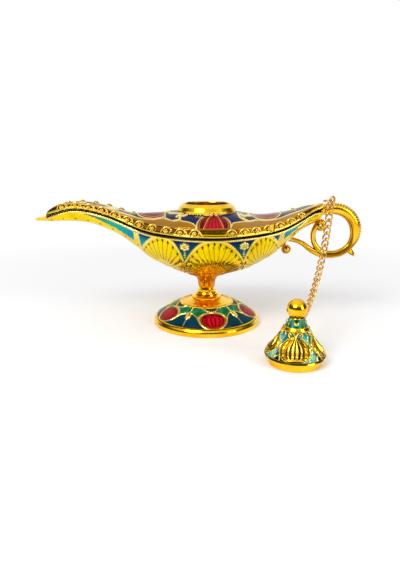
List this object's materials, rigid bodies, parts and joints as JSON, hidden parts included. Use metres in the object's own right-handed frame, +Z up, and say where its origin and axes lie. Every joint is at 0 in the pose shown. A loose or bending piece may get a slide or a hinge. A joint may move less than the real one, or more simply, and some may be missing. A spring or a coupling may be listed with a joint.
{
  "type": "genie oil lamp",
  "caption": "Footed genie oil lamp: long spouted bowl with an enamelled deck, scroll handle, and a tapered lid standing beside it on a chain.",
  "frame": {"origin": "centre of the foot ring, on the surface that the lamp stands on, under the mouth", "axes": "+Z up along the stem and the mouth, +X to the handle, -X to the spout, -Y to the side where the lid stands"},
  "size_m": [0.2291, 0.1344, 0.091],
  "materials": {
    "gold": "polished, bright",
    "gold_ornament": "cast relief, polished with dark recesses",
    "deck_enamel": "glossy enamel, navy with red and blue fields",
    "foot_enamel": "glossy enamel, green to blue with red fields",
    "lid_enamel": "glossy cyan enamel with navy shades",
    "lid_green": "glossy green enamel",
    "chain_gold": "pale, satin",
    "screw": "plain"
  },
  "bodies": {
    "lamp": {"hull": "gold_ornament", "deck": "gold_ornament", "deck_enamel": "deck_enamel", "mouth_collar": "gold", "foot_dish": "gold", "foot_enamel": "foot_enamel", "foot_cove": "gold", "stem_moulding": "gold", "foot_washer": "screw", "foot_screw": "screw", "handle": "gold_ornament", "handle_screw": "screw", "chain_eye": "gold"},
    "ring": {"jump_ring": "chain_gold"},
    "links_01_02": {"chain_link_01": "chain_gold", "chain_link_02": "chain_gold"},
    "links_03_04": {"chain_link_03": "chain_gold", "chain_link_04": "chain_gold"},
    "links_05_06": {"chain_link_05": "chain_gold", "chain_link_06": "chain_gold"},
    "links_07_08": {"chain_link_07": "chain_gold", "chain_link_08": "chain_gold"},
    "links_09_10": {"chain_link_09": "chain_gold", "chain_link_10": "chain_gold"},
    "links_11_12": {"chain_link_11": "chain_gold", "chain_link_12": "chain_gold"},
    "links_13_14": {"chain_link_13": "chain_gold", "chain_link_14": "chain_gold"},
    "links_15_16": {"chain_link_15": "chain_gold", "chain_link_16": "chain_gold"},
    "links_17_18": {"chain_link_17": "chain_gold", "chain_link_18": "chain_gold"},
    "links_19_20": {"chain_link_19": "chain_gold", "chain_link_20": "chain_gold"},
    "links_21_22": {"chain_link_21": "chain_gold", "chain_link_22": "chain_gold"},
    "lid": {"lid_shell": "gold", "lid_enamel": "lid_enamel", "lid_neck_enamel": "lid_green", "lid_seat_ring": "gold", "lid_knob": "gold", "lid_knob_screw": "screw", "lid_eyelet": "chain_gold"}
  },
  "joints": [
    {"name": "tether_swing", "type": "hinge", "parent": "lamp", "child": "ring", "pos_m": [0.0849, -0.00261, 0.0878], "axis": [0, 0, 1], "range_deg": [-15, 40]},
    {"name": "chain_lift", "type": "hinge", "parent": "ring", "child": "links_01_02", "pos_m": [0.0852, -0.0065, 0.08847], "axis": [0.9021, -0.4315, 0], "range_deg": [0, 15]},
    {"name": "links_03_04_hinge", "type": "hinge", "parent": "links_01_02", "child": "links_03_04", "pos_m": [0.08412, -0.00875, 0.07962], "axis": [0.9021, -0.4315, 0], "range_deg": [-6.79, 0.05]},
    {"name": "links_05_06_hinge", "type": "hinge", "parent": "links_03_04", "child": "links_05_06", "pos_m": [0.08265, -0.01182, 0.07108], "axis": [0.9021, -0.4315, 0], "range_deg": [-6.79, 0.05]},
    {"name": "links_07_08_hinge", "type": "hinge", "parent": "links_05_06", "child": "links_07_08", "pos_m": [0.08081, -0.01569, 0.06294], "axis": [0.9021, -0.4315, 0], "range_deg": [-6.79, 0.05]},
    {"name": "links_09_10_hinge", "type": "hinge", "parent": "links_07_08", "child": "links_09_10", "pos_m": [0.0786, -0.0203, 0.05529], "axis": [0.9021, -0.4315, 0], "range_deg": [-6.79, 0.05]},
    {"name": "links_11_12_hinge", "type": "hinge", "parent": "links_09_10", "child": "links_11_12", "pos_m": [0.07606, -0.0256, 0.04822], "axis": [0.9021, -0.4315, 0], "range_deg": [-6.79, 0.05]},
    {"name": "links_13_14_hinge", "type": "hinge", "parent": "links_11_12", "child": "links_13_14", "pos_m": [0.07322, -0.03155, 0.04181], "axis": [0.9021, -0.4315, 0], "range_deg": [-6.79, 0.05]},
    {"name": "links_15_16_hinge", "type": "hinge", "parent": "links_13_14", "child": "links_15_16", "pos_m": [0.0701, -0.03806, 0.03611], "axis": [0.9021, -0.4315, 0], "range_deg": [-6.79, 0.05]},
    {"name": "links_17_18_hinge", "type": "hinge", "parent": "links_15_16", "child": "links_17_18", "pos_m": [0.06675, -0.04508, 0.03121], "axis": [0.9021, -0.4315, 0], "range_deg": [-6.79, 0.05]},
    {"name": "links_19_20_hinge", "type": "hinge", "parent": "links_17_18", "child": "links_19_20", "pos_m": [0.06319, -0.05252, 0.02714], "axis": [0.9021, -0.4315, 0], "range_deg": [-6.79, 0.05]},
    {"name": "links_21_22_hinge", "type": "hinge", "parent": "links_19_20", "child": "links_21_22", "pos_m": [0.05946, -0.06031, 0.02396], "axis": [0.9021, -0.4315, 0], "range_deg": [-6.79, 0.05]},
    {"name": "lid_hinge", "type": "hinge", "parent": "links_21_22", "child": "lid", "pos_m": [0.05562, -0.06835, 0.0217], "axis": [0.9021, -0.4315, 0], "range_deg": [-0.05, 43.55]}
  ],
  "couplings": [
    {"joint": "links_03_04_hinge", "follows": "chain_lift", "ratio": -0.4495},
    {"joint": "links_05_06_hinge", "follows": "chain_lift", "ratio": -0.4495},
    {"joint": "links_07_08_hinge", "follows": "chain_lift", "ratio": -0.4495},
    {"joint": "links_09_10_hinge", "follows": "chain_lift", "ratio": -0.4495},
    {"joint": "links_11_12_hinge", "follows": "chain_lift", "ratio": -0.4495},
    {"joint": "links_13_14_hinge", "follows": "chain_lift", "ratio": -0.4495},
    {"joint": "links_15_16_hinge", "follows": "chain_lift", "ratio": -0.4495},
    {"joint": "links_17_18_hinge", "follows": "chain_lift", "ratio": -0.4495},
    {"joint": "links_19_20_hinge", "follows": "chain_lift", "ratio": -0.4495},
    {"joint": "links_21_22_hinge", "follows": "chain_lift", "ratio": -0.4495},
    {"joint": "lid_hinge", "follows": "chain_lift", "ratio": 2.9}
  ]
}
